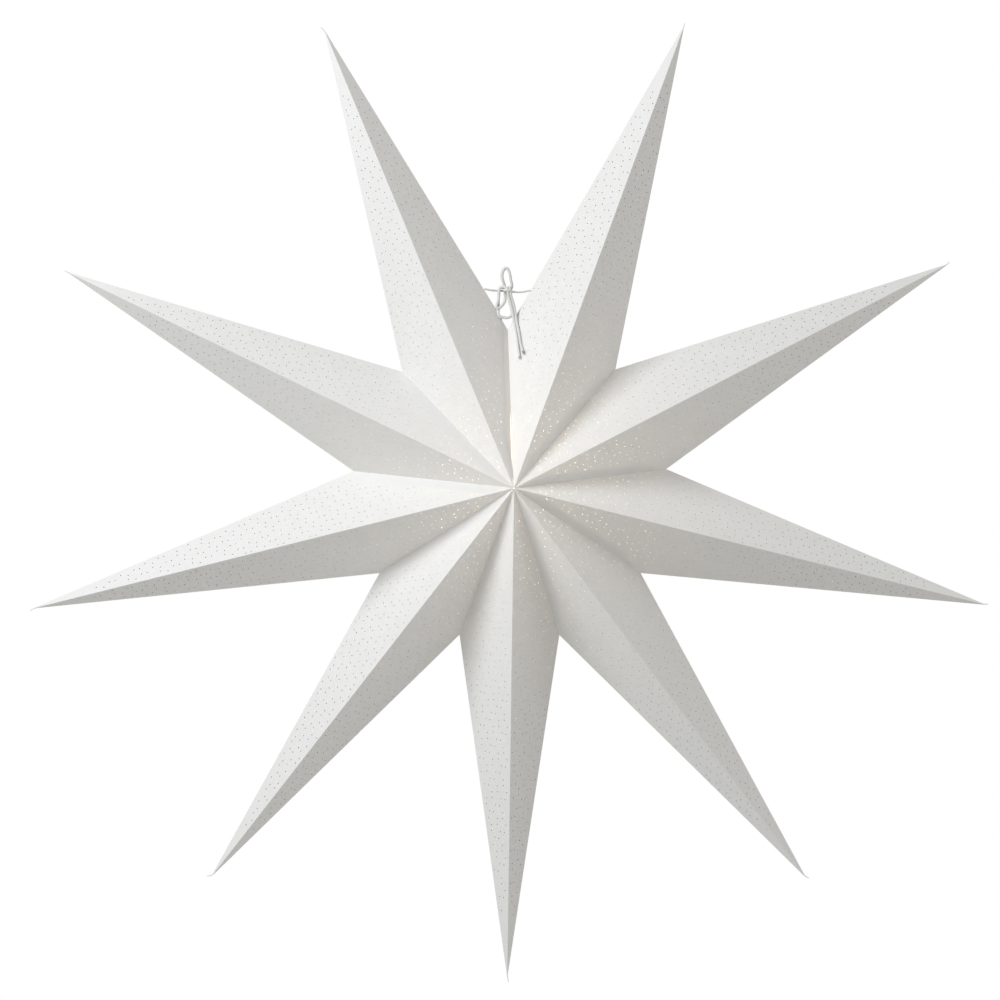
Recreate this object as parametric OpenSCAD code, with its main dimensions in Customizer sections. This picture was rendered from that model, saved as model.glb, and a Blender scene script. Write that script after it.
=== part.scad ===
// Folded paper advent star, in millimetres.
// Nine hollow points are folded from one sheet of card each and glued edge to edge in a
// fan. The last seam, at the top, stays unglued: two strings, knotted inside its points,
// are tied in a bow and draw it together. +Z is up and the front looks along -Y. The
// origin is the place where the strings are tied, which is where the star hangs.

/* [Star] */
// Radius at which the folded edges of a point would meet
tip_r = 497; // [350:1:650]
// Radius of the notches between neighbouring points
notch_r = 158.4; // [120:0.1:200]
// Height of the hub over the middle plane, in front and behind
hub_h = 80; // [55:1:105]
// Radius of the small hole where the nine points meet
hub_hole_r = 0.8; // [0.6:0.1:3]
// Thickness of the card
card_t = 0.3; // [0.2:0.05:0.5]
// Extra turn that the strings pull into the fan, in degrees
pull = 4.29; // [0:0.01:6]
// How far that pull is turned away from the seam, in degrees
pull_turn = 7.4; // [-20:0.1:20]

/* [Glue tabs] */
// Width of the tab along each valley
tab_w = 10; // [5:0.5:14]
// How far a tab stops short of the hub and of the notch
tab_gap = 8; // [5:0.5:20]
// Length over which a tab narrows at each end
tab_taper = 24; // [14:1:40]
// Width of the lap inside each back ridge
lap_w = 8; // [4:0.5:10]
// Distance of the lap from the hub
lap_start = 26; // [20:1:60]
// Distance of the lap from the tip
lap_end = 36; // [30:1:100]
// Length over which the lap narrows at each end
lap_taper = 24; // [15:1:50]

/* [Open seam] */
// How far the free edge stands back from its valley
seam_gap = 7.5; // [4:0.1:9]
// Distance from the hub at which it reaches that set-back
seam_taper = 62; // [30:1:120]
// How far the front tab at the seam stops short of the side fold, along the valley
seam_tab_gap = 3; // [2.5:0.1:10]

/* [Pinched tails] */
// How far below the meeting of the edges a tail begins
pinch = 5; // [3.5:0.1:8]
// Half the width of a tail
tail_r = 0.6; // [0.4:0.05:0.9]
// Usual length of a tail
tail_len = 7.4; // [4:0.1:12]
// Length of each tail over the usual one, clockwise from the upper left point
tail_share = [1.11, 0.91, 0.85, 0.85, 0.99, 1.22, 1, 1.09, 0.93];
// Turn of each tail at each of its two bends, in degrees, positive clockwise
tail_bend = [-15, -5, -11, -12, -17, -7, 32, -9, 0];

/* [Strings] */
// Diameter of the cotton strings
string_d = 2.2; // [1.5:0.1:2.4]
// Radius of the stopper knot at the hidden end of each string
stopper_r = 2.3; // [2:0.1:2.6]
// Radius of the punched string holes
hole_r = 1.6; // [1.3:0.05:2.2]
// Distance of the left hole from the top notch, along the fold
hole_left = 47; // [30:0.5:60]
// Distance of the right hole from the top notch, along the fold
hole_right = 44.5; // [30:0.5:60]
// Height of the tied strings above the hub
hang_h = 196; // [180:1:230]

/* [Hidden] */
point_count = 9;
step = 360 / point_count;
front = -1;
back = 1;
middle = [[0, 1, 0], 0];
bore_len = 6;
tail_steps = 3;
// Share of its width that a tail loses at each bend
tail_narrowing = 0.2;
string_sides = 8;

// Routes of the strings from the place where they are tied: the stopper knot, the way
// out of the hole, the loops of the bow and the tail
left_route = [
    [-32.8, 0, -1.6], [-32, 0, -1.1], [-30.4, 0, -0.2], [-29.6, 0, 0.3], [-26, 0, 2.6],
    [-23.2, 0.2, 2.4], [-19, 0.8, 1.5], [-14.5, 2.6, 1.1], [-11, 3.9, 0.9],
    [-6, 4.3, 0.7], [-1.5, 4.1, 0.9], [2, 2.9, 2.8], [2.6, 1.2, 6.5], [1.4, 0.4, 11.5],
    [0.6, 0, 16.5], [-0.6, 0, 21], [-3.1, 0, 24], [-6, 0, 22], [-7.6, 0, 17.5],
    [-7, 0, 12], [-5.2, 0.8, 7.3], [-4.4, 1.6, 3], [-4.4, 1.5, -2], [-4.3, 0.8, -6.5],
    [-5, -0.2, -10.5], [-7.4, -1.2, -13.6], [-10, -1.9, -16.2], [-12, -2, -17.2],
    [-13.3, -2, -15.6], [-12.9, -2, -12.6], [-11.6, -2, -9], [-11, -1.9, -5],
    [-10.8, -1.8, 0.5], [-9.2, -2.2, 4.4], [-6, -3.6, 5.2], [-3, -5.2, 3.2],
    [-2, -5.4, -1], [-0.6, -4.8, -6.5], [1.2, -4.2, -13], [2.8, -4.2, -20.5],
    [4, -4.8, -28.5], [5.2, -7.6, -36], [6.4, -11.9, -43.5], [7.8, -20.5, -58.5],
    [8.8, -24.6, -65]];
right_route = [
    [27.9, 0, -3.2], [27, 0, -2.7], [25.4, 0, -1.8], [24.5, 0, -1.3], [21, 0, 0.9],
    [18.5, 0, 0.6], [14.5, 0, -0.2], [9.5, -0.3, -0.6], [5, -1.2, -0.4],
    [1.3, -2.2, 0.3], [-2.5, -2.6, 1.7], [-6.5, -0.8, 3.8], [-9.4, 1.2, 4.2],
    [-10.9, 1.4, 0.6], [-11, 1.4, -5], [-11.3, 1.3, -11], [-11.4, 1.2, -15],
    [-11.2, 0, -18.2], [-11.7, -3.3, -21.4], [-10.6, -3.7, -24.6], [-6.5, -3, -26],
    [-1.5, -2.4, -26.2], [2, -1.4, -24], [2.2, -0.4, -19.5], [1, 0.3, -14.5],
    [-0.6, 0.4, -9.5], [-1.4, 0.5, -4.5], [-1.4, 0.5, 0.6], [-1, -0.4, 4.4],
    [-0.2, -3.4, 4.8], [0.6, -5.2, 2.2], [1, -5, -2.5], [2.1, -4.6, -6.5], [4, -4, -13],
    [5.5, -3.8, -20.5], [6.6, -5.2, -28.5], [7.8, -9.4, -36], [9, -14.1, -43.5],
    [10.4, -20.5, -54], [12.2, -24.8, -59.5]];

function unit(v) = v / norm(v);
function direction(a) = [sin(a), 0, cos(a)];

// A plane is its outward normal and its distance from the hub's centre
function plane(a, b, c) =
    let (n = unit(cross(b - a, c - a)), way = n * a < 0 ? -1 : 1)
    [way * n, way * (n * a)];
function sunk(p, depth) = [p[0], p[1] - depth];
function meet(p, q, r) =
    (p[1] * cross(q[0], r[0]) + q[1] * cross(r[0], p[0]) + r[1] * cross(p[0], q[0]))
    / (p[0] * cross(q[0], r[0]));

// Turns are clockwise from the top. Point k lies half a step before notch k, and
// notch 0 is the seam, where the strings spread the fan and close it at the bottom.
function turn(a) = a + pull * sin(a - pull_turn);
function tip_turn(k) = turn(step * (k - 0.5));
function tip(k) = tip_r * direction(tip_turn(k));
function notch(k) = notch_r * direction(turn(step * k));
function hub(side) = [0, side * hub_h, 0];

// The outer faces of point k on its anticlockwise and its clockwise side
function left_face(k, side) = plane(hub(side), notch(k - 1), tip(k));
function right_face(k, side) = plane(hub(side), tip(k), notch(k));
function hub_cut(k) = [direction(tip_turn(k)), hub_hole_r];
function tip_cut(k) = [direction(tip_turn(k)), tip_r - pinch];

// A square cut across a fold, at a distance from the hub, and the direction in a face
// that leads away from the fold towards another of its corners
function station(fold, side, s) = [fold, fold * hub(side) + s];
function away(fold, side, corner) =
    let (a = corner - hub(side))
    unit(a - (a * fold) * fold);

// Four corners of a strip beside a fold, of which the first and last lie on it
function strip(first, last, side, fold, across, n, taper, width, s0, s1, depth) = [
    first,
    hub(side) + (s0 + taper) * fold + width * across - depth * n,
    hub(side) + (s1 - taper) * fold + width * across - depth * n,
    last];

// The glue tab folds under the face of the point before
function tab(k, side, skin) =
    let (fold = unit(notch(k - 1) - hub(side)),
        length = norm(notch(k - 1) - hub(side)),
        left = sunk(left_face(k, side), skin),
        host = right_face(k - 1, side),
        under = sunk(host, skin + card_t),
        s0 = tab_gap,
        s1 = length - (to_notch(k, side) ? seam_tab_gap : tab_gap),
        corners = strip(meet(left, under, station(fold, side, s0)),
            meet(left, under, station(fold, side, s1)),
            side, fold, away(fold, side, tip(k - 1)), host[0],
            tab_taper, tab_w, s0, s1, skin + card_t))
    [for (i = [0:3]) i == 2 && to_notch(k, side) ? tab_corner(side, skin) : corners[i]];

// The front tab at the seam is seen behind the free edge. It keeps its width up to the
// side fold, and ends beside it.
function to_notch(k, side) = k == 1 && side == front;
function tab_corner(side, skin) =
    let (fold = unit(notch(0) - hub(side)),
        side_fold = unit(tip(0) - notch(0)),
        across = away(fold, side, tip(0)))
    notch(0) + tab_w / (side_fold * across) * side_fold - seam_tab_gap * fold
    - (skin + card_t) * right_face(0, side)[0];

// The clockwise edge runs along the neighbour's face. At the seam it is free: it
// leaves the valley at the hub and then follows it at the set-back.
function seam_cuts(side) =
    let (n = right_face(0, side)[0],
        fold = unit(notch(0) - hub(side)),
        inward = away(fold, side, tip(0)),
        knee = hub(side) + seam_taper * fold + seam_gap * inward,
        slant = unit(cross(knee - hub(side), n)))
    [[slant, slant * knee], [inward, inward * knee]];
function right_edge(k, side, skin) =
    let (face = sunk(right_face(k, side), skin),
        cuts = k == 0 ? seam_cuts(side) : [left_face(k + 1, side)],
        start = meet(face, cuts[0], hub_cut(k)),
        end = meet(face, cuts[len(cuts) - 1], middle))
    [start, k == 0 ? meet(face, cuts[0], cuts[1]) : (start + end) / 2, end];

// Corners of one side of a sheet, on its outer face or, with a skin, its inner face:
// the ridge and the valley at the hub, four of the tab and two of the other edge
function corners(k, side, skin) =
    let (left = sunk(left_face(k, side), skin),
        right = sunk(right_face(k, side), skin),
        under = sunk(right_face(k - 1, side), skin + card_t),
        edge = right_edge(k, side, skin))
    concat([meet(left, right, hub_cut(k)), meet(left, under, hub_cut(k))],
        tab(k, side, skin), [edge[0], edge[1]]);
function notches(k, skin) = [
    meet(sunk(left_face(k, front), skin), sunk(right_face(k - 1, front), skin + card_t),
        middle),
    right_edge(k, front, skin)[2]];

// The lap inside the back ridge: four corners on the inner face, four on the lap
function lap(k) =
    let (fold = unit(tip(k) - hub(back)),
        length = norm(tip(k) - hub(back)),
        left = sunk(left_face(k, back), card_t),
        n = right_face(k, back)[0],
        across = away(fold, back, notch(k)),
        s0 = lap_start,
        s1 = length - lap_end)
    [for (depth = [card_t, 2 * card_t])
        let (right = sunk(right_face(k, back), depth))
        each strip(meet(left, right, station(fold, back, s0)),
            meet(left, right, station(fold, back, s1)),
            back, fold, across, n, lap_taper, lap_w, s0, s1, depth)];

// The tail starts as the cut end of the four folds and bends twice
function tail_start(k) = [
    meet(left_face(k, front), right_face(k, front), tip_cut(k)),
    meet(right_face(k, front), middle, tip_cut(k)),
    meet(left_face(k, back), right_face(k, back), tip_cut(k)),
    meet(left_face(k, front), middle, tip_cut(k))];
function tail_point(k, i) = i == 0 ? (tip_r - pinch) * direction(tip_turn(k)) :
    tail_point(k, i - 1)
    + tail_share[k] * tail_len / tail_steps * direction(tip_turn(k) + (i - 1) * tail_bend[k]);
function tail_ring(k, i) =
    let (c = tail_point(k, i), r = tail_r * (1 - tail_narrowing * (i - 0.5)),
        across = cross(middle[0], direction(tip_turn(k) + (i - 1) * tail_bend[k])))
    [c + [0, front * r, 0], c + r * across, c + [0, back * r, 0], c - r * across];

// Numbers of the corners in a point's list
inner = 16;
left_notch = 32;
right_notch = 33;
tip_in = 36;
ring_0 = 37;
lap_0 = 41;
tail_0 = 49;

function flip(faces) = [for (f = faces) [for (i = [len(f) - 1:-1:0]) f[i]]];
// Flat faces of one side, each cut into convex pieces
function side_faces(c, nl, nr, tl, tm, tr) = [
    [c, c + 1, c + 2, c + 5, nl, tl, if (tm != tl) tm],
    [c + 2, c + 3, c + 4, c + 5],
    [c, tm, c + 7],
    [tm, if (tr != tm) tr, nr, c + 7],
    [c, c + 7, c + 6]];
function lapped_faces(c, nl, nr, t, b) = [
    [c, c + 1, c + 2, b + 4, b],
    [c + 2, c + 5, b + 7, b + 4],
    [c + 5, nl, t, b + 7],
    [t, b + 3, b + 7],
    [c + 2, c + 3, c + 4, c + 5],
    [c, b, b + 1, c + 7, c + 6],
    [b + 1, b + 2, nr, c + 7],
    [b + 2, t, nr],
    [b + 2, b + 3, t],
    [b + 4, b + 7, b + 6, b + 5],
    [b + 1, b, b + 4, b + 5],
    [b + 2, b + 1, b + 5, b + 6],
    [b + 3, b + 2, b + 6, b + 7]];

// The sheet's edge runs once round the open end, from the front ridge anticlockwise
edge_loop = [0, 1, 2, 3, 4, 5, left_notch, 13, 12, 11, 10, 9, 8, 14, 15, right_notch, 7, 6];
function inside(i) = i < inner ? i + inner : i + 2;
function band(a, b, c, d) = [[b, a, c], [b, c, d]];

sheet_faces = concat(
    side_faces(0, left_notch, right_notch, ring_0 + 3, ring_0, ring_0 + 1),
    flip(side_faces(8, left_notch, right_notch, ring_0 + 3, ring_0 + 2, ring_0 + 1)),
    flip(side_faces(inner, inside(left_notch), inside(right_notch), tip_in, tip_in, tip_in)),
    lapped_faces(inner + 8, inside(left_notch), inside(right_notch), tip_in, lap_0),
    [for (i = [0:len(edge_loop) - 1])
        let (a = edge_loop[i], b = edge_loop[(i + 1) % len(edge_loop)])
        each band(a, b, inside(a), inside(b))],
    [for (i = [0:tail_steps - 1], j = [0:3])
        let (a = i == 0 ? ring_0 : tail_0 + 4 * (i - 1), b = tail_0 + 4 * i)
        each band(a + j, a + (j + 1) % 4, b + j, b + (j + 1) % 4)],
    [[for (j = [3:-1:0]) tail_0 + 4 * (tail_steps - 1) + j]]);

function sheet_corners(k) = concat(
    corners(k, front, 0), corners(k, back, 0),
    corners(k, front, card_t), corners(k, back, card_t),
    notches(k, 0), notches(k, card_t),
    [meet(sunk(left_face(k, front), card_t), sunk(right_face(k, front), card_t), middle)],
    tail_start(k), lap(k),
    [for (i = [1:tail_steps]) each tail_ring(k, i)]);

// A punched hole through the side fold between the top notch and a tip, square to it
module string_hole(k, distance, way) {
    fold = unit(tip(k) - notch(0));
    translate(notch(0) + distance * fold)
        rotate([0, atan2(fold[0], fold[2]) + way * 90, 0])
            cylinder(h = bore_len, r = hole_r, center = true, $fn = 24);
}

module card() {
    color([0.96, 0.95, 0.93]) translate([0, 0, -hang_h]) children();
}
module sheet(k) {
    polyhedron(points = sheet_corners(k), faces = sheet_faces, convexity = 6);
}

module point_1() {
    card()
        difference() {
            sheet(0);
            string_hole(0, hole_left, 1);
        }
}
module point_2() {
    card()
        difference() {
            sheet(1);
            string_hole(1, hole_right, -1);
        }
}
module point_3() { card() sheet(2); }
module point_4() { card() sheet(3); }
module point_5() { card() sheet(4); }
module point_6() { card() sheet(5); }
module point_7() { card() sheet(6); }
module point_8() { card() sheet(7); }
module point_9() { card() sheet(8); }

// A string swept along its route, thicker where the stopper knot is
function leg(p, i) = unit(p[i + 1] - p[i]);
function heading(p, i) = unit(leg(p, max(i - 1, 0)) + leg(p, min(i, len(p) - 2)));
function carried(p, i, u) = let (t = heading(p, i)) unit(u - (u * t) * t);
function frames(p) = [
    for (i = 0, u = carried(p, 0, [0, 1, 0]);
        i < len(p);
        i = i + 1, u = i < len(p) ? carried(p, i, u) : u) u];
function string_radius(i) = i == 1 || i == 2 ? stopper_r : string_d / 2;
function string_points(p) =
    let (side_ways = frames(p))
    [for (i = [0:len(p) - 1], j = [0:string_sides - 1])
        let (u = side_ways[i], v = cross(heading(p, i), u), a = 360 * j / string_sides)
        p[i] + string_radius(i) * (cos(a) * u + sin(a) * v)];
function string_faces(n) = concat(
    [[for (j = [0:string_sides - 1]) j]],
    [for (i = [0:n - 2], j = [0:string_sides - 1])
        let (a = i * string_sides, b = a + string_sides, next = (j + 1) % string_sides)
        each [[a + j, b + next, a + next], [a + j, b + j, b + next]]],
    [[for (j = [string_sides - 1:-1:0]) (n - 1) * string_sides + j]]);
module cotton_string(route) {
    color([0.93, 0.92, 0.89])
        polyhedron(points = string_points(route), faces = string_faces(len(route)),
            convexity = 10);
}
module left_string() { cotton_string(left_route); }
module right_string() { cotton_string(right_route); }

point_1();
point_2();
point_3();
point_4();
point_5();
point_6();
point_7();
point_8();
point_9();
left_string();
right_string();
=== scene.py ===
# %% [markdown]
# # Folded paper advent star
# Nine hollow points of thin pricked card are glued edge to edge round a hub, and two
# cotton strings are tied in a bow over the open seam at the top. Everything is in metres,
# in the frame of the CAD model: +Z is up, the front looks along -Y, and the origin is the
# place where the strings are tied.

# %% Load the CAD model
import math
import random

import bmesh
import bpy
import numpy as np
from mathutils import Matrix, Vector, noise
from mathutils.geometry import delaunay_2d_cdt


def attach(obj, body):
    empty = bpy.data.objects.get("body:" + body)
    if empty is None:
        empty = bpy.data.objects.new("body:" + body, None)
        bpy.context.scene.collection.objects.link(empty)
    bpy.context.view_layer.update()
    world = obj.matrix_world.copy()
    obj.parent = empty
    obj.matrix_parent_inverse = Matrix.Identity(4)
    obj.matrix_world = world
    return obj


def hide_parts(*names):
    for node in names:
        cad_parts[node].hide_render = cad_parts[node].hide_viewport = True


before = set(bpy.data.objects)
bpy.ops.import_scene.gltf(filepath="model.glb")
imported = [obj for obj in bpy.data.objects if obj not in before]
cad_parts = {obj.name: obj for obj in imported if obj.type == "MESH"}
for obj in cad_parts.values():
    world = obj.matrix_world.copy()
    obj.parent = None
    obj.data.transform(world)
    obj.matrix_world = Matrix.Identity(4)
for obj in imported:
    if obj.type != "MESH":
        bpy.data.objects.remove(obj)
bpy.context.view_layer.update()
print("CAD nodes:", len(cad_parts))

# %% [markdown]
# ## Sizes
# These are the same values as in the CAD source, so that each drawn sheet lies where its
# solid does. Turns are clockwise from the top as the front is seen: point k lies half a
# step before notch k, and notch 0 is the seam. The points aren't spread evenly: they are
# drawn a few degrees towards one side, as a star that is tied at one seam is.

# %% Sizes
POINTS = 9
POINT_TURN = 360 / POINTS
TIP_R = 0.497
NOTCH_R = 0.1584
HUB_H = 0.080
HUB_HOLE_R = 0.0008
CARD = 0.0003
PULL = 4.29
PULL_TURN = 7.4
TAB_W, TAB_GAP, TAB_TAPER = 0.010, 0.008, 0.024
LAP_W, LAP_START, LAP_END, LAP_TAPER = 0.008, 0.026, 0.036, 0.024
LAP_TRIM, LAP_ROOT = 0.001, 0.0006
# The lap's two faces below the outer skin, in card thicknesses
LAP_DEPTHS = (1.15, 2.15)
# The tab in the seam comes a little nearer its notch than in the CAD source, which keeps
# the notch sharp
SEAM_GAP, SEAM_TAPER, SEAM_TAB_GAP = 0.0075, 0.062, 0.0012
PINCH = 0.005
TAIL_R = 0.0006
TAIL_LEN = 0.0074
TAIL_SHARE = [1.11, 0.91, 0.85, 0.85, 0.99, 1.22, 1, 1.09, 0.93]
TAIL_BEND = [-15, -5, -11, -12, -17, -7, 32, -9, 0]
STRING_D = 0.0022
STOPPER_R = 0.0023
HANG_H = 0.196
HUB = Vector((0, 0, -HANG_H))
print("overall radius:", TIP_R - PINCH + TAIL_LEN, "depth:", 2 * HUB_H)

# %% [markdown]
# ## Camera
# The photograph is taken with a long lens from a little to the left of the hub's axis and
# a little above it. A camera could be placed by its turns about the axes, but here it
# looks at the hub first and is then slid in its own plane, because these are the values
# that can be measured in a photograph.

# %% Camera
def aim_camera(left, above, roll, distance, width, shift_x, shift_z):
    """Look at the hub, and slide the frame by a distance across and up."""
    a, e = math.radians(left), math.radians(above)
    back = Vector((-math.sin(a) * math.cos(e), -math.cos(a) * math.cos(e), math.sin(e)))
    right = (-back).cross(Vector((0, 0, 1))).normalized()
    up = back.cross(right)
    data = bpy.data.cameras.new("camera")
    data.lens = data.sensor_width * distance / width
    camera = bpy.data.objects.new("camera", data)
    bpy.context.collection.objects.link(camera)
    turned = Matrix.Rotation(math.radians(roll), 3, back)
    right, up = turned @ right, turned @ up
    camera.matrix_world = Matrix((right, up, back)).transposed().to_4x4()
    camera.location = HUB + back * distance + right * shift_x + up * shift_z
    return camera


camera = aim_camera(left=2.7, above=1.6, roll=-0.21, distance=12.0, width=1.0083,
                    shift_x=-0.0103, shift_z=-0.0141)
bpy.context.scene.camera = camera
print("camera at", [round(x, 3) for x in camera.location])

# %% [markdown]
# ## Routes of the strings
# Two soft cotton strings close the seam. Each route runs from the stopper knot inside a
# point, out of its punched hole, through the loops of the bow and down to the loose end.
# A simulation could drop the strings into place, but it wouldn't end in this bow, so the
# places that each string passes are written down in the order in which it passes them.

# %% String routes
def metres(points):
    return [Vector(p) / 1000 for p in points]


LEFT_ROUTE = metres([
    (-32.8, 0, -1.6), (-32, 0, -1.1), (-30.4, 0, -0.2), (-29.6, 0, 0.3), (-26, 0, 2.6),
    (-23.2, 0.2, 2.4), (-19, 0.8, 1.5), (-14.5, 2.6, 1.1), (-11, 3.9, 0.9),
    (-6, 4.3, 0.7), (-1.5, 4.1, 0.9), (2, 2.9, 2.8), (2.6, 1.2, 6.5), (1.4, 0.4, 11.5),
    (0.6, 0, 16.5), (-0.6, 0, 21), (-3.1, 0, 24), (-6, 0, 22), (-7.6, 0, 17.5),
    (-7, 0, 12), (-5.2, 0.8, 7.3), (-4.4, 1.6, 3), (-4.4, 1.5, -2), (-4.3, 0.8, -6.5),
    (-5, -0.2, -10.5), (-7.4, -1.2, -13.6), (-10, -1.9, -16.2), (-12, -2, -17.2),
    (-13.3, -2, -15.6), (-12.9, -2, -12.6), (-11.6, -2, -9), (-11, -1.9, -5),
    (-10.8, -1.8, 0.5), (-9.2, -2.2, 4.4), (-6, -3.6, 5.2), (-3, -5.2, 3.2),
    (-2, -5.4, -1), (-0.6, -4.8, -6.5), (1.2, -4.2, -13), (2.8, -4.2, -20.5),
    (4, -4.8, -28.5), (5.2, -7.6, -36), (6.4, -11.9, -43.5), (7.8, -20.5, -58.5),
    (8.8, -24.6, -65)])
RIGHT_ROUTE = metres([
    (27.9, 0, -3.2), (27, 0, -2.7), (25.4, 0, -1.8), (24.5, 0, -1.3), (21, 0, 0.9),
    (18.5, 0, 0.6), (14.5, 0, -0.2), (9.5, -0.3, -0.6), (5, -1.2, -0.4),
    (1.3, -2.2, 0.3), (-2.5, -2.6, 1.7), (-6.5, -0.8, 3.8), (-9.4, 1.2, 4.2),
    (-10.9, 1.4, 0.6), (-11, 1.4, -5), (-11.3, 1.3, -11), (-11.4, 1.2, -15),
    (-11.2, 0, -18.2), (-11.7, -3.3, -21.4), (-10.6, -3.7, -24.6), (-6.5, -3, -26),
    (-1.5, -2.4, -26.2), (2, -1.4, -24), (2.2, -0.4, -19.5), (1, 0.3, -14.5),
    (-0.6, 0.4, -9.5), (-1.4, 0.5, -4.5), (-1.4, 0.5, 0.6), (-1, -0.4, 4.4),
    (-0.2, -3.4, 4.8), (0.6, -5.2, 2.2), (1, -5, -2.5), (2.1, -4.6, -6.5), (4, -4, -13),
    (5.5, -3.8, -20.5), (6.6, -5.2, -28.5), (7.8, -9.4, -36), (9, -14.1, -43.5),
    (10.4, -20.5, -54), (12.2, -24.8, -59.5)])
STOPPER_RINGS = (1, 2)
# How thick the cotton shows at places along a route: pulled thin where it is tied to the
# points, loose and fuller in the loops and the tail
LEFT_GIRTH = [(0, 1), (4, 0.9), (10, 0.9), (12, 1.25), (15, 1.3), (17.5, 1.6), (20, 1.3),
              (24, 1.35), (28, 1.45), (33, 1.4), (36, 1.2), (40, 1.25), (44, 1.1)]
RIGHT_GIRTH = [(0, 1), (4, 0.9), (9, 0.9), (12, 1.3), (16, 1.35), (21, 1.4), (26, 1.2),
               (31, 1.1), (34, 1.2), (39, 1.15)]
print("places on the routes:", len(LEFT_ROUTE), len(RIGHT_ROUTE))

# %% [markdown]
# ## Twisted string
# Household string is three plies that turn round each other once in about six
# millimetres. Three separate tubes would cost three times the faces, and a bump map
# would leave the outline smooth. So one tube follows the route, and the edge of each of
# its rings goes in three times to make the grooves between the plies.

# %% Smooth route
RING_STEP = 0.0005
EASE, EASE_FALL = 5, 2.0


def smooth_route(route):
    """Points close together on a curve through the route, each with its place in it."""
    points, places = [], []
    for i in range(len(route) - 1):
        a = route[max(i - 1, 0)]
        b, c = route[i], route[i + 1]
        d = route[min(i + 2, len(route) - 1)]
        steps = max(2, round((c - b).length / RING_STEP))
        for j in range(steps):
            t = j / steps
            points.append(0.5 * (2 * b + (c - a) * t + (2 * a - 5 * b + 4 * c - d) * t ** 2
                                 + (3 * b - a - 3 * c + d) * t ** 3))
            places.append(i + t)
    return relaxed(points + [route[-1]]), places + [len(route) - 1.0]


def relaxed(points):
    """The same curve with its corners eased, and its ends where they were."""
    out = []
    for i in range(len(points)):
        reach = min(EASE, i, len(points) - 1 - i)
        weights = [math.exp(-EASE_FALL * (j / EASE) ** 2) for j in range(-reach, reach + 1)]
        near = points[i - reach:i + reach + 1]
        out.append(sum((w * p for w, p in zip(weights, near)), Vector()) / sum(weights))
    return out


print("steps on the left string:", len(smooth_route(LEFT_ROUTE)[0]))

# %% Twisted string
PLIES = 3
SIDES = 18
LAY = 0.0065
PLY_DEPTH, PLY_EDGE = 0.2, 1.5
FLUFF, FLUFF_RUN, FLUFF_ROUND = 0.05, 900, 3
BODY = 1.04
STOPPER_FALL = 0.7


def stopper(place):
    """How much thicker the string is at its stopper knot."""
    first, last = STOPPER_RINGS
    away = max(first - place, place - last, 0)
    return 1 + (2 * STOPPER_R / STRING_D - 1) * max(0, 1 - away) ** STOPPER_FALL


def girth(table, place):
    """How thick the string shows at a place on its route."""
    return float(np.interp(place, [t[0] for t in table], [t[1] for t in table]))


def skin(bm, rings):
    """Faces from each ring to the next."""
    for a, b in zip(rings, rings[1:]):
        for j in range(len(a)):
            n = (j + 1) % len(a)
            bm.faces.new((a[j], a[n], b[n], b[j]))


def cap(bm, rings):
    """A flat face on either end."""
    bm.faces.new(rings[0][::-1])
    bm.faces.new(rings[-1])


def smooth_piece(name, bm):
    """An object with this mesh, its faces outwards and its shading smooth."""
    bmesh.ops.recalc_face_normals(bm, faces=bm.faces[:])
    mesh = bpy.data.meshes.new(name)
    bm.to_mesh(mesh)
    bm.free()
    mesh.shade_smooth()
    piece = bpy.data.objects.new(name, mesh)
    bpy.context.collection.objects.link(piece)
    return piece


def twisted_string(name, route, table):
    """A closed tube of three twisted plies, with the points that it follows."""
    path, places = smooth_route(route)
    bm = bmesh.new()
    rings = []
    across = None
    run = 0.0
    for i, p in enumerate(path):
        ahead = (path[min(i + 1, len(path) - 1)] - path[max(i - 1, 0)]).normalized()
        across = Vector((0, 1, 0)) if across is None else across
        across = (across - across.dot(ahead) * ahead).normalized()
        other = ahead.cross(across)
        run += (p - path[i - 1]).length if i else 0
        turn = 2 * math.pi * run / LAY
        thick = stopper(places[i]) * girth(table, places[i])
        ring = []
        for j in range(SIDES):
            a = 2 * math.pi * j / SIDES
            groove = 1 - abs(math.cos(PLIES / 2 * (a - turn)))
            fluff = FLUFF * noise.noise(Vector((run * FLUFF_RUN, FLUFF_ROUND * math.cos(a),
                                                FLUFF_ROUND * math.sin(a))))
            r = STRING_D / 2 * thick * (BODY - PLY_DEPTH * groove ** PLY_EDGE + fluff)
            ring.append(bm.verts.new(p + r * (math.cos(a) * across + math.sin(a) * other)))
        rings.append(ring)
    skin(bm, rings)
    cap(bm, rings)
    return smooth_piece(name, bm), path


def path_length(path):
    """Length along the centre of a string."""
    return sum((b - a).length for a, b in zip(path, path[1:]))


left_cord, left_path = twisted_string("left_cord", LEFT_ROUTE, LEFT_GIRTH)
right_cord, right_path = twisted_string("right_cord", RIGHT_ROUTE, RIGHT_GIRTH)
for piece, node, path in ((left_cord, "left_string", left_path),
                          (right_cord, "right_string", right_path)):
    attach(piece, "root")
    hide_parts(node)
    print(node, "length", round(path_length(path), 4))

# %% [markdown]
# ## Turn of the knot
# One turn of string holds the strands of the bow together. The strings' own routes pass
# behind it. It could be one more stretch of a route, but a closed oval loop is simpler to
# pull tight: it leans a little, as a turn of a knot does.

# %% Turn of the knot
KNOT_RINGS = 48
KNOT_TWISTS = 6
KNOT_LEAN = 0.5
UPWARDS = Vector((0, 0, 1))


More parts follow.
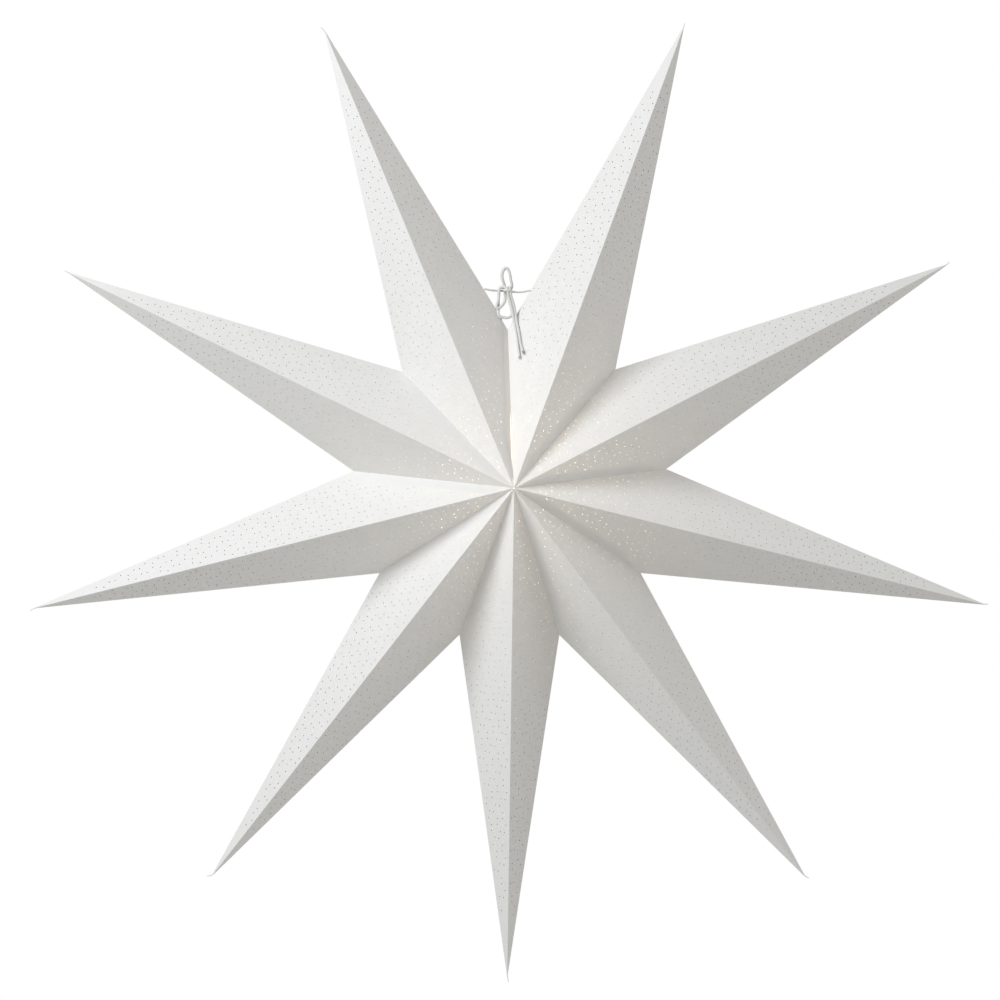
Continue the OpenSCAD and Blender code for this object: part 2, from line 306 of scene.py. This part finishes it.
def knot_turn(name, centre, wide, tall, deep, radius):
    """A closed loop of cotton pulled tight round the strands of the bow."""
    bm = bmesh.new()
    rings = []
    for i in range(KNOT_RINGS):
        a = 2 * math.pi * i / KNOT_RINGS
        p = centre + Vector((wide * math.cos(a), -deep * math.sin(a),
                             tall * math.sin(a - KNOT_LEAN)))
        out = Vector((math.cos(a), -math.sin(a), 0.0))
        ring = []
        for j in range(SIDES):
            b = 2 * math.pi * j / SIDES
            groove = 1 - abs(math.cos(PLIES / 2 * (b - KNOT_TWISTS * a)))
            r = radius * (1 - PLY_DEPTH * groove ** PLY_EDGE)
            ring.append(bm.verts.new(p + r * (math.cos(b) * out + math.sin(b) * UPWARDS)))
        rings.append(ring)
    skin(bm, rings + rings[:1])
    piece = smooth_piece(name, bm)
    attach(piece, "root")
    return piece


bow_knot = knot_turn("bow_knot", Vector((-0.0014, -0.0014, 0.0004)), wide=0.0038,
                     tall=0.0015, deep=0.0054, radius=0.0014)
print("knot rings:", KNOT_RINGS)

# %% [markdown]
# ## Frayed ends
# The strings are cut and left bare, so their fibres splay. A hair system doesn't survive
# an export, so each fibre is a thin three-sided spike of its own that wanders a little,
# drawn at random from a fixed seed.

# %% Frayed ends of the strings
FIBRE_STEPS, FIBRE_TAPER, FIBRE_WANDER, FIBRE_R = 6, 0.8, 0.28, 0.00013
FRAY_WIDTH, FRAY_SPLAY, FRAY_ROOT = 0.4, 260, 0.0004


def fibre(bm, start, way, length, radius, rng):
    """A thin tapered fibre that wanders from its start."""
    p, step = start.copy(), length / FIBRE_STEPS
    rings = []
    for i in range(FIBRE_STEPS + 1):
        side = way.orthogonal().normalized()
        other = way.cross(side).normalized()
        r = radius * (1 - FIBRE_TAPER * i / FIBRE_STEPS)
        rings.append([bm.verts.new(p + r * (math.cos(a) * side + math.sin(a) * other))
                      for a in (0, 2.1, 4.2)])
        bend = Vector([rng.uniform(-1, 1) for _ in range(3)])
        way = (way + FIBRE_WANDER * bend).normalized()
        p = p + step * way
    skin(bm, rings)
    cap(bm, rings)


def frayed_end(name, path, count, length, seed):
    """A tuft of fibres at the end of a path."""
    rng = random.Random(seed)
    ahead = (path[-1] - path[-6]).normalized()
    bm = bmesh.new()
    for _ in range(count):
        out = Vector([rng.uniform(-1, 1) for _ in range(3)])
        out = (out - out.dot(ahead) * ahead) * STRING_D * FRAY_WIDTH
        way = (ahead + out * FRAY_SPLAY).normalized()
        fibre(bm, path[-1] + out - FRAY_ROOT * ahead, way, length * rng.uniform(0.5, 1),
              FIBRE_R, rng)
    piece = smooth_piece(name, bm)
    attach(piece, "root")
    return piece


left_fray = frayed_end("left_fray", left_path, count=60, length=0.0042, seed=3)
right_fray = frayed_end("right_fray", right_path, count=70, length=0.0052, seed=8)
print("faces on the fibres:", len(left_fray.data.polygons) + len(right_fray.data.polygons))

# %% [markdown]
# ## The folded star
# Each point is one sheet of card. Its four faces are flat, and they meet where their
# planes do: a front ridge, a back ridge, two side folds and the valleys, where a glue tab
# goes on under the face of the point before. Corners could be typed in, but planes that
# are sunk by a card's thickness and intersected give every mitre and lap exactly.

# %% Planes of the star
def unit(v):
    """The same direction with a length of 1."""
    return v / np.linalg.norm(v)


def direction(a):
    """From the hub at a turn in degrees, in the middle plane of the star."""
    return np.array([math.sin(math.radians(a)), 0.0, math.cos(math.radians(a))])


def plane(a, b, c):
    """Outward normal and distance from the hub's centre."""
    n = unit(np.cross(b - a, c - a))
    n = n if n @ a > 0 else -n
    return n, n @ a


def sunk(p, depth):
    """The plane that lies this deep below a plane."""
    return p[0], p[1] - depth


def meet(p, q, r):
    """The point that three planes share."""
    return np.linalg.solve(np.array([p[0], q[0], r[0]]), np.array([p[1], q[1], r[1]]))


def turn(a):
    """Where an evenly spread turn ends up in this star."""
    return a + PULL * math.sin(math.radians(a - PULL_TURN))


def tip_turn(k):
    return turn(POINT_TURN * (k - 0.5))


def tip(k):
    return TIP_R * direction(tip_turn(k))


def notch(k):
    return NOTCH_R * direction(turn(POINT_TURN * k))


def hub(side):
    return np.array([0.0, side * HUB_H, 0.0])


def left_face(k, side):
    return plane(hub(side), notch(k - 1), tip(k))


def right_face(k, side):
    return plane(hub(side), tip(k), notch(k))


def away(fold, side, corner):
    """Direction in a face that leads away from a fold through the hub."""
    a = corner - hub(side)
    return unit(a - (a @ fold) * fold)


MIDDLE = (np.array([0.0, 1.0, 0.0]), 0.0)
FRONT, BACK = -1, 1
print("point 0 points at", round(tip_turn(0), 2), "point 1 at", round(tip_turn(1), 2))

# %% [markdown]
# ## Pricked pattern
# The card is pricked all over before it is folded: pairs of small holes, alternately along
# the ridge and across it, in rows at 45 degrees. The pattern runs on over the folds, and
# leaves a plain margin beside each of them. A transparent pattern in the material would
# be lighter, but it is lost in an exported mesh, so each hole is cut.

# %% Pricked pattern
HOLE_R = 0.00064
HOLE_SIDES = 8
ROW_STEP = np.array([0.007925, 0.00779])
ROW_PITCH = np.array([0.033675, 0.0])
PAIR_ALONG, PAIR_ACROSS = 0.00295, 0.0028
SHEAR = 0.06
HUB_MARGIN = 0.026
RIDGE_MARGIN = 0.0028
SIDE_MARGIN = 0.003
VALLEY_MARGIN = 0.0015
LAPPED_MARGIN = 0.012
SEAM_MARGIN = 0.0095
LAST_HOLE = 0.440
ROWS, COLUMNS = range(-60, 120), range(-20, 40)
SHEET_START, SHEET_REACH, SHEET_HALF = -0.02, 0.56, 0.17
# Where the first pair of each sheet lies, in millimetres, and how far its rows are turned
PLACING = [(11.58, 7.00, 1.36), (21.89, 6.17, -2.03), (32.57, 5.88, 1.77),
           (5.51, 2.74, 1.70), (4.12, 2.48, 0.11), (0.87, 8.65, 0.18),
           (0.57, 1.96, 2.95), (7.33, 4.88, -0.40), (2.64, 7.60, 0.74)]


def pattern(k, reach):
    """Hole centres in the sheet of point k: x along the ridge, y across it."""
    x, y, turned = PLACING[k]
    c, s = math.cos(math.radians(turned)), math.sin(math.radians(turned))
    out = []
    for i in ROWS:
        for j in COLUMNS:
            a = np.array([x, y]) / 1000 + i * ROW_STEP + j * ROW_PITCH
            b = a + ROW_PITCH / 2
            for p in (a + (PAIR_ALONG, 0), a - (PAIR_ALONG, 0),
                      b + (0, PAIR_ACROSS), b - (0, PAIR_ACROSS)):
                q = np.array([c * p[0] - s * p[1], s * p[0] + c * p[1]])
                q[0] -= SHEAR * abs(q[1])
                if SHEET_START < q[0] < reach and abs(q[1]) < SHEET_HALF:
                    out.append(q)
    return out


def line_distance(p, a, b):
    """Distance of p to the left of the line from a to b."""
    w = unit(b - a)
    return w[0] * (p[1] - a[1]) - w[1] * (p[0] - a[0])


print("holes of a whole sheet:", len(pattern(0, LAST_HOLE)))

# %% [markdown]
# ## Building a sheet
# A flat leaf is cut from its outline and its holes, and laid on its plane. All leaves of a
# sheet share the corners of their folds. The inner skin lies one card below the outer one,
# mitred at each fold, and a narrow wall closes the edge and every hole. A Boolean for
# hundreds of holes is slow and leaves slivers, and Solidify doesn't keep these mitres
# where tabs meet faces, so a triangulation with fixed edges cuts the leaf at once.

# %% Sheet builder
EDGE_STEP = 0.012
# Corners closer than five thousandths of a millimetre are one
CORNERS_PER_METRE = 2e5
SAME_PLANE = 0.9999
CUT_TOLERANCE = 1e-7


class Sheet:
    """The outer skin of one folded sheet, as points, triangles and planes through them."""

    def __init__(self):
        self.points, self.normals, self.index, self.faces = [], [], {}, []

    def vertex(self, p, n):
        """The number of a corner, which also remembers each plane that it lies on."""
        key = tuple(np.round(p * CORNERS_PER_METRE).astype(int))
        if key not in self.index:
            self.index[key] = len(self.points)
            self.points.append(p)
            self.normals.append([])
        i = self.index[key]
        if all(n @ m < SAME_PLANE for m in self.normals[i]):
            self.normals[i].append(n)
        return i

    def leaf(self, face, origin, along, outline, cuts=()):
        """A flat leaf on a plane, with its outline in space and the rings cut out of it."""
        n = face[0]
        across = np.cross(n, along)
        ring = [np.array([(p - origin) @ along, (p - origin) @ across]) for p in outline]
        points = [Vector(p) for p in ring]
        edges = [(i, (i + 1) % len(ring)) for i in range(len(ring))]
        owner = [-1] * len(ring)
        for h, cut in enumerate(cuts):
            first = len(points)
            points += [Vector(p) for p in cut]
            owner += [h] * len(cut)
            edges += [(first + j, first + (j + 1) % len(cut)) for j in range(len(cut))]
        verts, _, faces, source, _, _ = delaunay_2d_cdt(points, edges, [], 1,
                                                       CUT_TOLERANCE)
        back = [s[0] for s in source]
        ids = [self.vertex(origin + v[0] * along + v[1] * across, n) for v in verts]
        for f in faces:
            held = {owner[back[i]] for i in f}
            if len(held) == 1 and -1 not in held:
                continue
            a, b, c = (verts[i] for i in f)
            up = (b - a).cross(c - a) > 0
            self.faces.append(tuple(ids[i] for i in (f if up else reversed(f))))

    def inner(self, i):
        """Where a corner lies on the inner skin, one card below each of its planes."""
        normals = self.normals[i][:3]
        rows, sums = list(normals), [-CARD] * len(normals)
        if len(normals) == 1:
            return self.points[i] - CARD * normals[0]
        if len(normals) == 2:
            rows.append(np.cross(*normals))
            sums.append(0.0)
        return self.points[i] + np.linalg.lstsq(np.array(rows), np.array(sums), rcond=None)[0]


def pricked(c):
    """The rim of a hole."""
    angles = [2 * math.pi * (j + 0.5) / HOLE_SIDES for j in range(HOLE_SIDES)]
    return [(c[0] + HOLE_R * math.cos(a), c[1] + HOLE_R * math.sin(a)) for a in angles]


def divided(a, b):
    """Points on a fold from a up to b, without b."""
    steps = max(1, round(np.linalg.norm(b - a) / EDGE_STEP))
    return [a + (b - a) * i / steps for i in range(steps)]


def outline_of(corners):
    """All points round a leaf with these corners."""
    out = []
    for a, b in zip(corners, corners[1:] + corners[:1]):
        out += divided(a, b)
    return out


print("sheet builder ready")

# %% [markdown]
# ## Glue tabs and the seam
# Every sheet has a narrow tab beside each valley that is glued under its neighbour. At
# the top seam the neighbour is trimmed back, so its tab stays in sight as a strip. The
# strip is slit beside its fold, where light from inside shows as a thin line.

# %% Glue tabs and the seam
def away_from(fold, start, corner):
    """Direction in a face that leads away from a fold through a start."""
    a = corner - start
    return unit(a - (a @ fold) * fold)


def tab_fold(k, side):
    """The stretch of a valley on which the glue tab is folded."""
    fold = unit(notch(k - 1) - hub(side))
    length = np.linalg.norm(notch(k - 1) - hub(side))
    left = left_face(k, side)
    under = sunk(right_face(k - 1, side), CARD)
    gap = SEAM_TAB_GAP if (k, side) == (1, FRONT) else TAB_GAP
    ends = [meet(left, under, (fold, fold @ hub(side) + s)) for s in (TAB_GAP, length - gap)]
    return fold, ends[0], ends[1]


# Corners of the slit: distance from the hub and from the fold
SLIT = [(0.019, 0.0004), (0.087, 0.0004), (0.072, 0.0015), (0.035, 0.0015)]


def tab_leaf(sheet, k, side):
    """The glue tab of point k on one side of the star."""
    fold, a, b = tab_fold(k, side)
    host = right_face(k - 1, side)
    across = away(fold, side, tip(k - 1))
    length = np.linalg.norm(notch(k - 1) - hub(side))
    outer = [hub(side) + s * fold + TAB_W * across - CARD * host[0]
             for s in (TAB_GAP + TAB_TAPER, length - TAB_GAP - TAB_TAPER)]
    slits = []
    if (k, side) == (1, FRONT):
        # The tab in the open seam keeps its width up to the side fold, and is slit beside
        # its own fold
        side_fold = unit(tip(0) - notch(0))
        outer[1] = (notch(0) + TAB_W / (side_fold @ across) * side_fold
                    - SEAM_TAB_GAP * fold - CARD * host[0])
        way = np.cross(host[0], fold)
        flip = 1 if way @ across > 0 else -1
        root = (a - hub(side)) @ across
        slits = [[(s, flip * (root + w)) for s, w in SLIT]]
    sheet.leaf(sunk(host, CARD), hub(side) - CARD * host[0], fold,
               outline_of([a, outer[0], outer[1], b]), slits)


def seam_cuts(side):
    """Planes that trim the face beside the open seam: a slant, then an even gap."""
    n = right_face(0, side)[0]
    fold = unit(notch(0) - hub(side))
    inward = away(fold, side, tip(0))
    knee = hub(side) + SEAM_TAPER * fold + SEAM_GAP * inward
    slant = unit(np.cross(knee - hub(side), n))
    return [(slant, slant @ knee), (inward, inward @ knee)]


print("the tab starts", round(np.linalg.norm(tab_fold(1, FRONT)[1] - hub(FRONT)), 4),
      "from the hub's corner")

# %% [markdown]
# ## Faces of a point
# Each of the four faces is one leaf between its ridge, its valley and its side fold. The
# string holes are punched through the folded edge, so half of each lies in either face.

# %% Faces of a point
ARC_POINTS, ARC_MARGIN = 9, 0.002
# Point, half and distance from the seam's notch
STRING_HOLES = ((0, 1, 0.047), (1, -1, 0.0445))
STRING_HOLE_R = 0.0016
SEAM_REACH = 0.06


def fold_cut(edge, centre, r, inward, fold):
    """Half of a punched hole in place of a stretch of a fold."""
    arc = [centre + r * (math.cos(a) * fold + math.sin(a) * inward)
           for a in np.linspace(0, math.pi, ARC_POINTS)]
    return [p for p in edge if np.linalg.norm(p - centre) > r + ARC_MARGIN], arc


def half_leaf(sheet, k, side, half):
    """One face of point k with its holes: half is -1 on the anticlockwise side."""
    here = left_face(k, side) if half < 0 else right_face(k, side)
    left, right = left_face(k, side), right_face(k, side)
    hub_cut = (direction(tip_turn(k)), HUB_HOLE_R)
    tip_cut = (direction(tip_turn(k)), TIP_R - PINCH)
    ridge = [meet(left, right, hub_cut), meet(left, right, tip_cut)]
    side_end = meet(here, MIDDLE, tip_cut)
    if half < 0:
        under = sunk(right_face(k - 1, side), CARD)
        fold, a, b = tab_fold(k, side)
        edge = [meet(here, under, hub_cut), a, b, meet(here, under, MIDDLE)]
    else:
        cuts = seam_cuts(side) if k == 0 else [left_face(k + 1, side)]
        edge = [meet(here, cuts[0], hub_cut), meet(here, cuts[-1], MIDDLE)]
        if k == 0:
            edge.insert(1, meet(here, cuts[0], cuts[1]))
    along = unit(tip(k) - hub(side))
    corners = [ridge[0]] + edge + [side_end, ridge[1]]
    outline = outline_of(corners)
    # String holes are punched through the side folds next to the seam
    for point, which, distance in STRING_HOLES:
        if k == point and half == which:
            fold = unit(tip(k) - notch(0))
            centre = notch(0) + distance * fold
            inward = away_from(fold, notch(0), hub(side))
            i = next(i for i, p in enumerate(outline) if abs((p - notch(0)) @ fold) < SEAM_REACH
                     and abs(p[1]) < 1e-6 and (p - notch(0)) @ fold > distance)
            keep, arc = fold_cut(outline, centre, STRING_HOLE_R, inward, fold)
            j = next(j for j, p in enumerate(keep) if np.allclose(p, outline[i])
                     or (p - notch(0)) @ fold > distance and abs(p[1]) < 1e-6)
            outline = keep[:j] + arc[::-1] + keep[j:]
    across = np.cross(here[0], along)
    flip = 1 if across @ (notch(k if half > 0 else k - 1) - hub(side)) > 0 else -1

    def flat(p):
        q = p - hub(side)
        return np.array([q @ along, flip * (q @ across)])

    corner = flat(notch(k if half > 0 else k - 1))
    peak = flat(tip(k))
    margin = LAPPED_MARGIN if half > 0 else VALLEY_MARGIN
    margin = SEAM_MARGIN if (k, half) == (1, -1) else margin
    axis = unit(peak - corner)
    holes = []
    for c in pattern(k, SHEET_REACH):
        q = np.array([c[0], c[1] * half])
        if side == BACK:
            # The back face is reached over the side fold
            q = q - corner
            q = corner + 2 * (q @ axis) * axis - q
        if q[0] > LAST_HOLE or q[1] < RIDGE_MARGIN or math.hypot(*q) < HUB_MARGIN:
            continue
        if -line_distance(q, np.zeros(2), corner) < margin:
            continue
        if -line_distance(q, corner, peak) < SIDE_MARGIN:
            continue
        holes.append((q[0], flip * q[1]))
    sheet.leaf(here, hub(side), along, outline, [pricked(c) for c in holes])
    return len(holes)


print("front face of point 1 looks along", np.round(left_face(1, FRONT)[0], 2))

# %% [markdown]
# ## Tails
# The four faces can't be folded right up to the tip, so the card ends in a thin pinched
# tail that curls a little to one side, differently on each point. It is built ring by
# ring on the open end of the sheet, so that it stays one piece with it.

# %% Tails
TAIL_STEPS, TAIL_ROOT, TAIL_THINNING = 9, 1.08, 0.05


def tail_rings(k):
    """Four-sided rings along the bent tail, in which the first is left out."""
    rings, heading = [], tip_turn(k)
    p = (TIP_R - PINCH) * direction(heading)
    for i in range(1, TAIL_STEPS + 1):
        bend = TAIL_BEND[k] * 2 * i / TAIL_STEPS
        p = p + TAIL_SHARE[k] * TAIL_LEN / TAIL_STEPS * direction(heading + bend)
        r = TAIL_R * (TAIL_ROOT - TAIL_THINNING * i)
        across = direction(heading + bend + 90)
        rings.append([p + np.array([0, FRONT * r, 0]), p + r * across,
                      p + np.array([0, BACK * r, 0]), p - r * across])
    return rings


def closed_faces(sheet, k):
    """Outer skin, inner skin, walls and the tail."""
    outer = sheet.faces
    count = len(sheet.points)
    points = sheet.points + [sheet.inner(i) for i in range(count)]
    directed = {(f[i], f[(i + 1) % 3]) for f in outer for i in range(3)}
    rim = {a: b for a, b in directed if (b, a) not in directed}
    end = (TIP_R - PINCH) - 1e-5
    at_tip = {i for i in rim if points[i] @ direction(tip_turn(k)) > end}
    faces = [list(f) for f in outer] + [[i + count for i in reversed(f)] for f in outer]
    faces += [[b, a, a + count, b + count] for a, b in rim.items()
              if not (a in at_tip and b in at_tip)]
    order = [min(at_tip, key=lambda i: points[i][1])]
    while rim[order[-1]] != order[0]:
        order.append(rim[order[-1]])
    faces.append([i + count for i in order])
    ring = order
    for new in tail_rings(k):
        across = direction(tip_turn(k) + 90)
        clockwise = (points[order[1]] - points[order[0]]) @ across > 0
        new = new if clockwise else [new[0], new[3], new[2], new[1]]
        first = len(points)
        points += new
        ids = [first + i for i in range(4)]
        faces += [[ring[(i + 1) % 4], ring[i], ids[i], ids[(i + 1) % 4]] for i in range(4)]
        ring = ids
    faces.append(ring[::-1])
    return points, faces


print("rings on a tail:", len(tail_rings(0)))

# %% [markdown]
# ## Lap
# A sheet is closed into a pyramid by a lap that is glued inside its back ridge. It isn't
# seen, but light that passes the card is weaker there, so it is drawn.

# %% Lap
def lap_strip(k):
    """The lap inside the back ridge, one card thick."""
    fold = unit(tip(k) - hub(BACK))
    length = np.linalg.norm(tip(k) - hub(BACK))
    right = right_face(k, BACK)
    across = away(fold, BACK, notch(k))
    out = []
    for depth in LAP_DEPTHS:
        base = hub(BACK) - depth * CARD * right[0]
        out += [base + (LAP_START + LAP_TRIM) * fold + LAP_ROOT * across,
                base + (LAP_START + LAP_TAPER) * fold + LAP_W * across,
                base + (length - LAP_END - LAP_TAPER) * fold + LAP_W * across,
                base + (length - LAP_END - LAP_TRIM) * fold + LAP_ROOT * across]
    return out, [[0, 1, 2, 3], [7, 6, 5, 4], [1, 0, 4, 5], [2, 1, 5, 6], [3, 2, 6, 7],
                 [0, 3, 7, 4]]


print("corners of a lap:", len(lap_strip(0)[0]))

# %% [markdown]
# ## Nine points
# The parts of a sheet are put together once for each point. Each mesh takes the place of
# its CAD node and rides on the same body.

# %% Build the nine points
def build_point(k):
    """One folded and pricked sheet as an object."""
    sheet = Sheet()
    holes = 0
    for side in (FRONT, BACK):
        for half in (-1, 1):
            holes += half_leaf(sheet, k, side, half)
        tab_leaf(sheet, k, side)
    points, faces = closed_faces(sheet, k)
    more, lap_faces = lap_strip(k)
    faces += [[i + len(points) for i in f] for f in lap_faces]
    points = points + more
    mesh = bpy.data.meshes.new("card_point_%d" % (k + 1))
    mesh.from_pydata([tuple(p - (0, 0, HANG_H)) for p in points], [], faces)
    mesh.update()
    bm = bmesh.new()
    bm.from_mesh(mesh)
    bmesh.ops.recalc_face_normals(bm, faces=bm.faces[:])
    open_edges = sum(1 for e in bm.edges if len(e.link_faces) != 2)
    bm.to_mesh(mesh)
    bm.free()
    piece = bpy.data.objects.new(mesh.name, mesh)
    bpy.context.collection.objects.link(piece)
    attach(piece, "root")
    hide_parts("point_%d" % (k + 1))
    triangles = sum(len(p.vertices) - 2 for p in mesh.polygons)
    print(piece.name, "holes", holes, "triangles", triangles, "open edges", open_edges)
    return piece


points = [build_point(k) for k in range(POINTS)]

# %% [markdown]
# ## Materials
# The card is white, matte and thin enough to let some light through. Subsurface
# scattering would suit a solid, but in a sheet with two skins a little Translucent mixed
# into the matte shader is quicker and passes light as paper does. A faint cloud keeps the
# white from looking like plastic, and a fine bump gives it its tooth.

# %% Card
def material(name):
    """An empty node material, with its nodes and its links."""
    m = bpy.data.materials.new(name)
    m.use_nodes = True
    m.node_tree.nodes.clear()
    return m, m.node_tree.nodes, m.node_tree.links


def card_material():
    m, nodes, links = material("card")
    out = nodes.new("ShaderNodeOutputMaterial")
    mix = nodes.new("ShaderNodeMixShader")
    mix.inputs["Fac"].default_value = 0.16
    paper = nodes.new("ShaderNodeBsdfPrincipled")
    paper.inputs["Roughness"].default_value = 0.82
    paper.inputs["Specular IOR Level"].default_value = 0.25
    through = nodes.new("ShaderNodeBsdfTranslucent")
    through.inputs["Color"].default_value = (0.975, 0.935, 0.885, 1)
    where = nodes.new("ShaderNodeTexCoord")
    cloud = nodes.new("ShaderNodeTexNoise")
    cloud.inputs["Scale"].default_value = 55
    cloud.inputs["Detail"].default_value = 5
    tone = nodes.new("ShaderNodeValToRGB")
    tone.color_ramp.elements[0].position = 0.3
    tone.color_ramp.elements[0].color = (0.925, 0.925, 0.92, 1)
    tone.color_ramp.elements[1].position = 0.7
    tone.color_ramp.elements[1].color = (0.945, 0.945, 0.94, 1)
    fibres = nodes.new("ShaderNodeTexNoise")
    fibres.inputs["Scale"].default_value = 1800
    fibres.inputs["Detail"].default_value = 3
    bump = nodes.new("ShaderNodeBump")
    bump.inputs["Strength"].default_value = 0.12
    bump.inputs["Distance"].default_value = 0.00008
    links.new(where.outputs["Object"], cloud.inputs["Vector"])
    links.new(where.outputs["Object"], fibres.inputs["Vector"])
    links.new(cloud.outputs["Fac"], tone.inputs["Fac"])
    links.new(tone.outputs["Color"], paper.inputs["Base Color"])
    links.new(fibres.outputs["Fac"], bump.inputs["Height"])
    links.new(bump.outputs["Normal"], paper.inputs["Normal"])
    links.new(paper.outputs["BSDF"], mix.inputs[1])
    links.new(through.outputs["BSDF"], mix.inputs[2])
    links.new(mix.outputs["Shader"], out.inputs["Surface"])
    return m


card = card_material()
for piece in points:
    piece.data.materials.append(card)
print("material:", card.name, "on", len(points), "points")

# %% [markdown]
# ## Cotton
# The cotton is off-white, rough and a little fuzzy. Sheen stands for the short fibres
# that catch the light at the edges, and a fine noise breaks up its tone.

# %% Cotton
def cotton_material():
    m, nodes, links = material("cotton")
    out = nodes.new("ShaderNodeOutputMaterial")
    cotton = nodes.new("ShaderNodeBsdfPrincipled")
    cotton.inputs["Roughness"].default_value = 0.95
    cotton.inputs["Sheen Weight"].default_value = 0.35
    where = nodes.new("ShaderNodeTexCoord")
    streak = nodes.new("ShaderNodeTexNoise")
    streak.inputs["Scale"].default_value = 900
    streak.inputs["Detail"].default_value = 4
    tone = nodes.new("ShaderNodeValToRGB")
    tone.color_ramp.elements[0].position = 0.25
    tone.color_ramp.elements[0].color = (0.7, 0.695, 0.675, 1)
    tone.color_ramp.elements[1].position = 0.7
    tone.color_ramp.elements[1].color = (0.84, 0.835, 0.82, 1)
    bump = nodes.new("ShaderNodeBump")
    bump.inputs["Strength"].default_value = 0.5
    bump.inputs["Distance"].default_value = 0.0001
    links.new(where.outputs["Object"], streak.inputs["Vector"])
    links.new(streak.outputs["Fac"], tone.inputs["Fac"])
    links.new(tone.outputs["Color"], cotton.inputs["Base Color"])
    links.new(streak.outputs["Fac"], bump.inputs["Height"])
    links.new(bump.outputs["Normal"], cotton.inputs["Normal"])
    links.new(cotton.outputs["BSDF"], out.inputs["Surface"])
    return m


cotton = cotton_material()
for piece in (left_cord, right_cord, bow_knot, left_fray, right_fray):
    piece.data.materials.append(cotton)
print("material:", cotton.name)

# %% [markdown]
# ## Light
# A soft lamp stands at the upper left in front and a weaker one on the right, so that
# each fold has a light side and a shaded side. The world is white for the camera only,
# and gives a soft warm light otherwise. Weak warm lights inside make the holes show
# bright on the shaded faces, and one behind the seam warms its bare strip.

# %% Lamps
def area_lamp(name, place, size, power, colour):
    """A square lamp at a place from the hub, aimed at the hub."""
    data = bpy.data.lights.new(name, "AREA")
    data.size = size
    data.energy = power
    data.color = colour
    lamp = bpy.data.objects.new(name, data)
    bpy.context.collection.objects.link(lamp)
    lamp.location = HUB + Vector(place)
    lamp.rotation_mode = "QUATERNION"
    lamp.rotation_quaternion = (-Vector(place)).to_track_quat("-Z", "Y")
    return lamp


def glow(name, place, radius, power, colour):
    """A round light at a place from the hub."""
    data = bpy.data.lights.new(name, "POINT")
    data.shadow_soft_size = radius
    data.energy = power
    data.color = colour
    lamp = bpy.data.objects.new(name, data)
    bpy.context.collection.objects.link(lamp)
    lamp.location = HUB + Vector(place)
    return lamp


area_lamp("key", place=(-1.38, -1.16, 1.26), size=0.9, power=34, colour=(0.93, 0.965, 1.0))
area_lamp("fill", place=(2.05, -0.55, 0.57), size=1.4, power=10.2,
          colour=(0.95, 0.975, 1.0))
glow("inside", place=(0.039, 0.0, 0.026), radius=0.012, power=0.09, colour=(1.0, 0.78, 0.5))
glow("hub_glow", place=(0.0, 0.0, 0.0), radius=0.035, power=0.28, colour=(1.0, 0.9, 0.74))

# %% Light in the seam
STRIP_LENGTH, STRIP_WIDTH = 0.13, 0.003
STRIP_MIDDLE, STRIP_ACROSS, STRIP_DEPTH = 0.1, 0.0045, 0.0035


def seam_glow(power, colour):
    """A thin strip of light close behind the bare tab of the open seam."""
    host = right_face(0, FRONT)[0]
    fold = unit(notch(0) - hub(FRONT))
    across = away(fold, FRONT, tip(0))
    data = bpy.data.lights.new("seam", "AREA")
    data.shape = "RECTANGLE"
    data.size, data.size_y = STRIP_LENGTH, STRIP_WIDTH
    data.energy = power
    data.color = colour
    lamp = bpy.data.objects.new("seam", data)
    bpy.context.collection.objects.link(lamp)
    x, z = Vector(fold), Vector(-host)
    lamp.matrix_world = Matrix((x, z.cross(x), z)).transposed().to_4x4()
    lamp.location = HUB + Vector(hub(FRONT) + STRIP_MIDDLE * fold + STRIP_ACROSS * across
                                 - STRIP_DEPTH * host)
    return lamp


seam_lamp = seam_glow(power=0.002, colour=(1.0, 0.32, 0.08))
print("light in the seam at", [round(x, 3) for x in seam_lamp.location])

# %% World
world = bpy.data.worlds.new("studio")
bpy.context.scene.world = world
world.use_nodes = True
nodes, links = world.node_tree.nodes, world.node_tree.links
nodes.clear()
path_kind = nodes.new("ShaderNodeLightPath")
white = nodes.new("ShaderNodeBackground")
white.inputs["Color"].default_value = (1, 1, 1, 1)
ambient = nodes.new("ShaderNodeBackground")
ambient.inputs["Color"].default_value = (1.0, 0.955, 0.88, 1)
ambient.inputs["Strength"].default_value = 0.34
pick = nodes.new("ShaderNodeMixShader")
surface = nodes.new("ShaderNodeOutputWorld")
links.new(path_kind.outputs["Is Camera Ray"], pick.inputs["Fac"])
links.new(ambient.outputs[0], pick.inputs[1])
links.new(white.outputs[0], pick.inputs[2])
links.new(pick.outputs[0], surface.inputs["Surface"])

bpy.context.scene.view_settings.view_transform = "Standard"
print("world:", world.name)

# %% [markdown]
# ## Floor
# A plain pale disc lies under the star, below the view. It isn't part of the star, so it
# # isn't attached to any body.

# %% Floor
def floor_disc(radius, height):
    """A flat matte disc at a height."""
    bm = bmesh.new()
    bmesh.ops.create_circle(bm, cap_ends=True, segments=96, radius=radius,
                            matrix=Matrix.Translation((0, 0, height)))
    mesh = bpy.data.meshes.new("floor")
    bm.to_mesh(mesh)
    bm.free()
    disc = bpy.data.objects.new("floor", mesh)
    bpy.context.collection.objects.link(disc)
    m, nodes, links = material("floor")
    out = nodes.new("ShaderNodeOutputMaterial")
    matte = nodes.new("ShaderNodeBsdfPrincipled")
    matte.inputs["Base Color"].default_value = (0.83, 0.83, 0.82, 1)
    matte.inputs["Roughness"].default_value = 0.9
    links.new(matte.outputs["BSDF"], out.inputs["Surface"])
    mesh.materials.append(m)
    return disc


floor_disc(radius=3.2, height=-1.02)
print("floor 3.2 m in radius")
